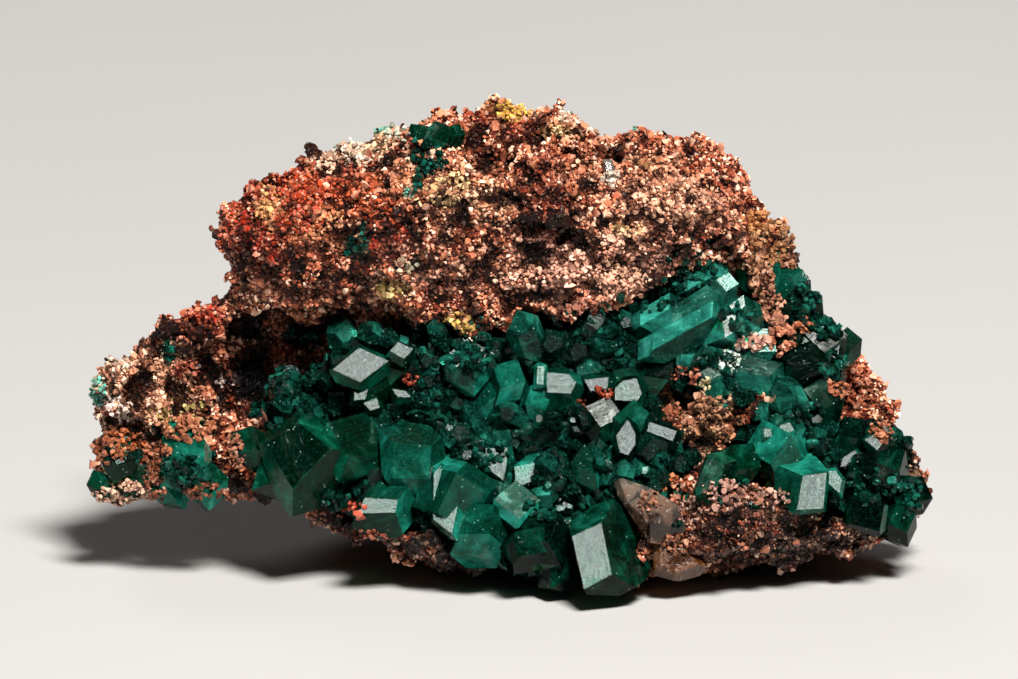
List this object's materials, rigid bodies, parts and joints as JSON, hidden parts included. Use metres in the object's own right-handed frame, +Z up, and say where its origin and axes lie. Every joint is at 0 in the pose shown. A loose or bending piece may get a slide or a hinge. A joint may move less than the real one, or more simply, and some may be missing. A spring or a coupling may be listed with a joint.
{
  "type": "dioptase mineral specimen",
  "caption": "Mineral specimen: dark green dioptase crystals lining a hollow and a ledge of crumbly reddish-brown rock, cut flat underneath to stand.",
  "frame": {"origin": "middle of the specimen's outline seen from above, on the surface that it rests on", "axes": "+Z up from the flat cut base, +X along the specimen's length to the viewer's right, -Y towards the viewer of the crystals"},
  "size_m": [0.0892, 0.0472, 0.0475],
  "materials": {
    "reddish_rock": "crumbly, dull, salmon to red-brown with cream and turquoise films",
    "small_green_crystals": "glassy small crystals, teal to dark green",
    "dark_green_crystal": "glassy, deep emerald green, see-through in thin places",
    "pale_clear_mineral": "glassy, pale brown, cloudy"
  },
  "bodies": {
    "root": {"matrix_rock": "reddish_rock", "vug_crust": "small_green_crystals", "front_large_crystal": "dark_green_crystal", "front_left_crystals": "dark_green_crystal", "left_dark_crystals": "dark_green_crystal", "kite_faced_crystals": "dark_green_crystal", "middle_striated_crystals": "dark_green_crystal", "hollow_bright_crystals": "dark_green_crystal", "hollow_right_crystals": "dark_green_crystal", "grey_faced_crystal": "dark_green_crystal", "right_large_crystal": "dark_green_crystal", "right_end_block": "dark_green_crystal", "right_edge_crystals": "dark_green_crystal", "parallel_growth_mass": "dark_green_crystal", "glinting_cluster": "dark_green_crystal", "back_slope_crystals": "dark_green_crystal", "left_arm_crystals": "dark_green_crystal", "left_hollow_crystals": "dark_green_crystal", "top_pocket_crystals": "dark_green_crystal", "clear_brown_wedge": "pale_clear_mineral", "pale_shard": "pale_clear_mineral"}
  },
  "joints": []
}
